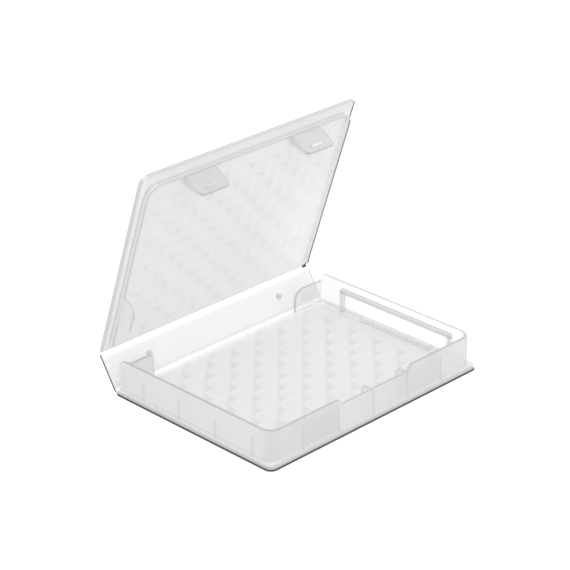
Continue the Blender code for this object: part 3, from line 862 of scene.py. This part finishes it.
dress("base_plate", {
    "face": 246, "alpha": 0.92,
    # painted shade on the facets facing away from the light and along their base lines, painted light between
    # the pyramids and a painted highlight on the ridges
    "pyramids": pyramidLook("base_plate", 0.0021, (-diagonal, diagonal),
                            {"Gap Light": 247, "Shaded Facet": 235, "Base Shade Line": 238, "Glint": 248}),
    # painted shade and a painted highlight along the floor's border step
    "borders": (
        border(232, 0.0005, (0.0006, 0.0021), (0.0540, 0.0406), 0.0080),
        border(252, 0.0004, (0.0006, 0.0021), (0.0550, 0.0416), 0.0085),
    ),
    "bands": (
        band(252, ("Y", 0.0350, 0.0450)),
        # painted shade on the plate's lower edge, by the floor
        band(235, ("Z", 0.0015, 0.0009)),
        band(254, ("Y", 0.0410, 0.0442), ("X", -0.0588, -0.0580), alpha=0.4),
    ),
    # painted shade lines along the plate's edges
    "box": ((0.0, 0.0, plateMiddleZ), (plateHalf[0], plateHalf[1], plateMiddleZ)), "edge": 226,
})
# painted shade lines along the rounded ends of the front ribs
for number in range(1, 6):
    name = f"front_rib_{number}"
    low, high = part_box(name)
    sides = ((low.x + 0.0005, low.x + 0.0001), (high.x - 0.0005, high.x - 0.0001))
    dress(name, {"face": 248, "alpha": 0.6, "outlines": [
        endOutline(name, "YZ", 1, 0.0030, where=(("X", *side),)) for side in sides]})
# a painted shade line along each side rib's rounded end
for number in range(1, 5):
    name = f"side_rib_{number}"
    dress(name, {"face": 244, "alpha": 0.5, "outlines": (endOutline(name, "XZ", 1, 0.0020),)})
barLow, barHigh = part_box("guard_bar")
dress("guard_bar", {
    "face": 250, "alpha": 0.7,
    # painted shade lines along the bar's top edges and its lower edge
    "bands": (
        band(216, ("Z", barHigh.z - 0.0005, barHigh.z - 0.0003), ("X", barLow.x + 0.0003, barLow.x + 0.0001),
             alpha=0.95),
        band(200, ("Z", barHigh.z - 0.0002, barHigh.z - 0.0001),
             ("X", barHigh.x - 0.0010, barHigh.x - 0.0006), alpha=1.0),
        band(208, ("Z", barLow.z + 0.0006, barLow.z + 0.0004), alpha=1.0),
    ),
})
# painted shade lines along the edges of the legs and the sill
for name in ("guard_leg_front", "guard_leg_rear"):
    dress(name, {"face": 250, "alpha": 0.7, "box": localBox(name), "edge": 214, "edgeWidth": 0.0005,
                 "edgeAlpha": 0.95})
dress("guard_sill", {"face": 253, "alpha": 0.8, "box": localBox("guard_sill"), "edge": 232})
# painted shade: the pads are painted dark, so the front wall looks darker where they stand behind it
for name in ("catch_pad_left", "catch_pad_right"):
    dress(name, {"face": 214, "alpha": 0.6})
# painted shade: the left return wall darker, with a painted shade line along its end
dress("left_return_wall", {
    "face": 236, "alpha": 0.85,
    "outlines": (endOutline("left_return_wall", "XZ", 1, 0.0020, alpha=0.95),),
})
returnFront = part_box("right_return_wall")[0].y
dress("right_return_wall", {
    "face": 248, "alpha": 0.8,
    # painted shade in the upper part, painted light low down and at the right end, where the wall is also
    # clearer
    "bands": (
        band(240, ("X", 0.0440, 0.0460), ("X", 0.0565, 0.0550), ("Z", 0.0035, 0.0070)),
        band(254, ("Z", 0.0060, 0.0040), alpha=0.5),
        band(253, ("X", 0.0547, 0.0565), alpha=0.6),
    ),
    # a painted shade line along its free end
    "outlines": (endOutline("right_return_wall", "XZ", -1, 0.0050, 213, 1.0,
                            (("Y", returnFront + 0.0009, returnFront + 0.0006),)),),
})

print("Finishing the spine and the hinge strips")
dress("spine_panel", {
    "fold": "spine", "face": 251, "alpha": 0.93,
    "bands": (
        band(254, ("Y", 0.0020, 0.0004), alpha=0.3),
        band(254, ("Y", 0.0134, 0.0166), alpha=0.3),
        # painted shade: the left end dark and the right end darker
        band(90, ("X", -0.0597, -0.0599), ("Z", 0.0010, 0.0006), alpha=1.0),
        band(205, ("X", 0.0592, 0.0597)),
    ),
})
# painted shade: the pegs darker, with darker lines along their edges
for name in ("spine_peg_left", "spine_peg_right"):
    dress(name, {"fold": "spine", "face": 222, "alpha": 1.0, "box": localBox(name, "spine"), "edge": 196})

hingeLook = {
    "reach": 0.0009,             # how far the strip runs on along each panel
    "thickness": 0.0005,
    "sideGap": 0.0001,
    "bendSteps": 10,
    "rows": 7,
}
lowerHingePaintAndShade = {"face": 254, "alpha": 0.35, "bands": (
    # painted shade: the strip's left end dark
    band(90, ("X", -0.0595, -0.0598), alpha=1.0),
)}
upperHingePaintAndShade = {"fold": "lid", "face": 254, "alpha": 0.35, "bands": (
    # darker and more opaque just under the lid's inner face
    band(243, ("Y", -0.0002, 0.0008), ("Z", -0.0010, -0.0008), alpha=0.8),
    # painted shade: the strip's right end dark
    band(20, ("X", 0.0572, 0.0576), alpha=1.0),
)}


def hingeStrip(origin, entry, leave, look):
    # a thin strip that leaves one panel along its own direction, rounds the fold's axis and enters the next:
    # its centre line is (1 - s)^2 * entry + s^2 * leave for s from 0 to 1, as seen from the axis
    radius = look["thickness"] / 2
    steps = np.linspace(0.0, 1.0, look["bendSteps"])[:, None]
    centre = (1 - steps) ** 2 * entry + steps ** 2 * leave
    along = np.gradient(centre, axis=0)
    along /= np.linalg.norm(along, axis=1)[:, None]
    normal = np.column_stack((-along[:, 1], along[:, 0]))
    outline = np.concatenate((centre + normal * radius, (centre - normal * radius)[::-1]))
    outline += np.array(origin[1:])
    halfWidth = cadBounds[1].x - look["sideGap"]
    rows = np.linspace(-halfWidth, halfWidth, look["rows"])
    x = np.broadcast_to(rows[:, None], (rows.size, len(outline)))
    y = np.broadcast_to(outline[:, 0], x.shape)
    z = np.broadcast_to(outline[:, 1], x.shape)
    return np.stack((x, y, z), -1)


def addHinge(name, origin, startTurn, endTurn, replaced, paintAndShade):
    # a strip that runs from the first panel round the fold into the second one
    turns = np.radians((startTurn + 180, endTurn))
    entry, leave = hingeLook["reach"] * np.column_stack((np.cos(turns), np.sin(turns)))
    mesh = gridMesh(name, hingeStrip(origin, entry, leave, hingeLook))
    piece = addPiece(name, mesh, paintAndShade, None, (replaced,))
    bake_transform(piece)


spineTurn = folds["spine"]["turn"]
addHinge("lowerHingeStrip", lowerFold, 0.0, spineTurn, "lower_fold_web", lowerHingePaintAndShade)
addHinge("upperHingeStrip", upperFold, spineTurn, lidTurn, "upper_fold_web", upperHingePaintAndShade)

print("Finishing the lid and sweeping its rim")
lidMiddle, lidHalf = localBox("lid_panel", "lid")
lidFront = lidMiddle[1] + lidHalf[1]
# lineEnd bounds the painted shade line along the lid's right edge
lineEnd = ("Y", lidFront - 0.0110, lidFront - 0.0100)      # the lid's own dark edge line stops here
dress("lid_panel", {
    "fold": "lid", "face": 241, "alpha": 0.88,
    # painted shade on the facets facing away from the light and along their base lines, and a painted
    # highlight on the ridges
    "pyramids": pyramidLook("lid_panel", 0.0018, (-diagonal, -diagonal),
                            {"Shaded Facet": 235, "Base Shade Line": 240, "Glint": 243}, "lid"),
    # painted shade on the flange and a painted shade line along the lid's edge
    "borders": (
        border(237, 0.0018, (0.0, lidFront / 2), (0.0583, lidFront / 2 - 0.0017), 0.0035),
        border(224, 0.0009, (0.0, lidFront / 2), (0.0600, lidFront / 2), 0.0040, alpha=1.0),
    ),
    "bands": (
        # painted light on the lid's right part
        band(252, ("X", 0.0100, 0.0550), ("Y", 0.0700, 0.0300)),
        band(254, ("Y", 0.0014, -0.0012), alpha=0.3),
        # painted light on the left flange, against its shade
        band(247, ("X", -0.0568, -0.0573), ("X", -0.0592, -0.0588)),
        # the right edge nearly clear, then a painted shade line along it
        band(254, ("X", 0.0584, 0.0586), lineEnd, alpha=0.1),
        band(80, ("X", 0.0577, 0.0579), ("X", 0.0587, 0.0585), lineEnd, alpha=1.0),
        # painted shade: the rear right corner dark by the hinge
        band(20, ("X", 0.0572, 0.0577), ("Y", 0.0040, 0.0034), ("Z", 0.0004, 0.0008), alpha=1.0),
    ),
})
rimMiddle, rimHalf = localBox("lid_rim_front", "lid")
sideMiddle, sideHalf = localBox("lid_rim_left", "lid")
rimLook = {
    "outerX": -(sideMiddle[0] - sideHalf[0]),
    "outerY": rimMiddle[1] + rimHalf[1],
    "rear": sideMiddle[1] - sideHalf[1],
    "foot": rimMiddle[2] - rimHalf[2] + contactGap,
    "top": rimMiddle[2] + rimHalf[2],
    "thickness": 2 * rimHalf[1],
    "corner": 0.0070,
    "edgeRadius": 0.0003,
    "edgeSteps": 5,
    # lineDrop, lineReach and outerLine set the painted shade lines at the rim's foot and top edge
    "lineDrop": 0.0006,
    "lineReach": 0.0005,
    "outerLine": 0.4,
    "outFoot": ((0.0, 0.0, 0.0, 1.0), (0.0, 0.0, 0.0005, 1.0), (0.0, 0.0, 0.0010, 0.0)),
    "inFoot": ((0.0, 0.0, 0.0, 0.0),),
    "sideSteps": 12,
    "cornerSteps": 20,
    "frontSteps": 16,
}
rimPaintAndShade = {
    # line: painted shade lines at the rim's foot and top edge, except on its right side
    "fold": "lid", "face": 250, "alpha": 0.92, "line": 225, "lineAlpha": 1.0,
    "bands": (
        # painted shade on the front's outer side and on the top face
        band(230, ("Y", rimLook["outerY"] - 0.0004, rimLook["outerY"] - 0.0001)),
        band(226, ("Z", rimLook["top"] - 0.0004, rimLook["top"] - 0.0001), alpha=0.95),
        # painted light on the right rim
        band(254, ("X", 0.0545, 0.0555), ("Y", 0.0850, 0.0800), alpha=1.0),
        # painted shade: a dark line low on the right rim
        band(135, ("X", 0.0559, 0.0562), ("Z", 0.0026, 0.0028), alpha=1.0),
    ),
}


def rimPath(look):
    # the rim's middle line, in the lid's own frame
    half = look["thickness"] / 2
    cornerX, cornerY = look["outerX"] - look["corner"], look["outerY"] - look["corner"]
    sideY = np.linspace(look["rear"], cornerY, look["sideSteps"])[:-1]
    frontX = np.linspace(-cornerX, cornerX, look["frontSteps"])[1:-1]
    return hoopPath(look["outerX"] - half, sideY, frontX, cornerX, cornerY, look["corner"] - half,
                    look["cornerSteps"], 1.0)


rimRows = rimPath(rimLook)
rimPoints, rimLine = sweepSlab(rimRows, rimLook, np.full(len(rimRows), rimLook["top"]))
leftOfBend = rimRows[:, 0:1] <= rimLook["outerX"] - rimLook["corner"] / 2
addPiece("lidRim", gridMesh("lidRim", rimPoints, foldMatrix("lid")), rimPaintAndShade, "lid",
         ("lid_rim_left", "lid_rim_right", "lid_rim_front", "lid_rim_corner_left", "lid_rim_corner_right"),
         np.where(leftOfBend, 1.0, 0.0) * rimLine)


def dressTab(name, face, bump, crestHighlight):
    # the front tab's outline faces are painted darker than its face as painted shade; the gusset's side and
    # the bump have greys of their own, painted lighter as painted light, and the bump's crest may carry a
    # painted highlight; faces are found by their place in the tab's frame
    points = localPoints(name, "tab")
    left, right = points[:, 0].min(), points[:, 0].max()
    tip = points[:, 2].max()
    outer = points[points[:, 2] > tip - 0.0006][:, 1].max()
    crest = points[:, 1].max()
    behindFace = ("Y", outer - 0.0001, outer - 0.0003)
    dress(name, {
        "fold": "tab", "face": face, "alpha": 0.97,
        "bands": (
            band(212, ("X", right - 0.0008, right - 0.0003)),
            band(228, behindFace),
            band(212, behindFace, ("Z", tip - 0.0020, tip - 0.0010)),
            band(234, ("X", left + 0.0002, left + 0.0001), ("Z", -0.0080, -0.0095)),
            band(bump, ("Y", outer + 0.0001, outer + 0.0002)),
            band(crestHighlight, ("Y", crest - 0.0002, crest - 0.0001)),
        ),
    })


dressTab("front_tab_left", 221, 227, 230)
dressTab("front_tab_right", 225, 237, 254)
sideTab = localPoints("side_tab", "lid")
sideTabLeft, sideTabRight = sideTab[:, 0].min(), sideTab[:, 0].max()
dress("side_tab", {
    "fold": "lid", "face": 239, "alpha": 0.95,
    # painted shade on the side tab's edge faces
    "bands": (
        band(219, ("X", sideTabLeft + 0.0001, sideTabLeft + 0.0002),
             ("X", sideTabRight - 0.0001, sideTabRight - 0.0002)),
    ),
})

print("Case dressed")
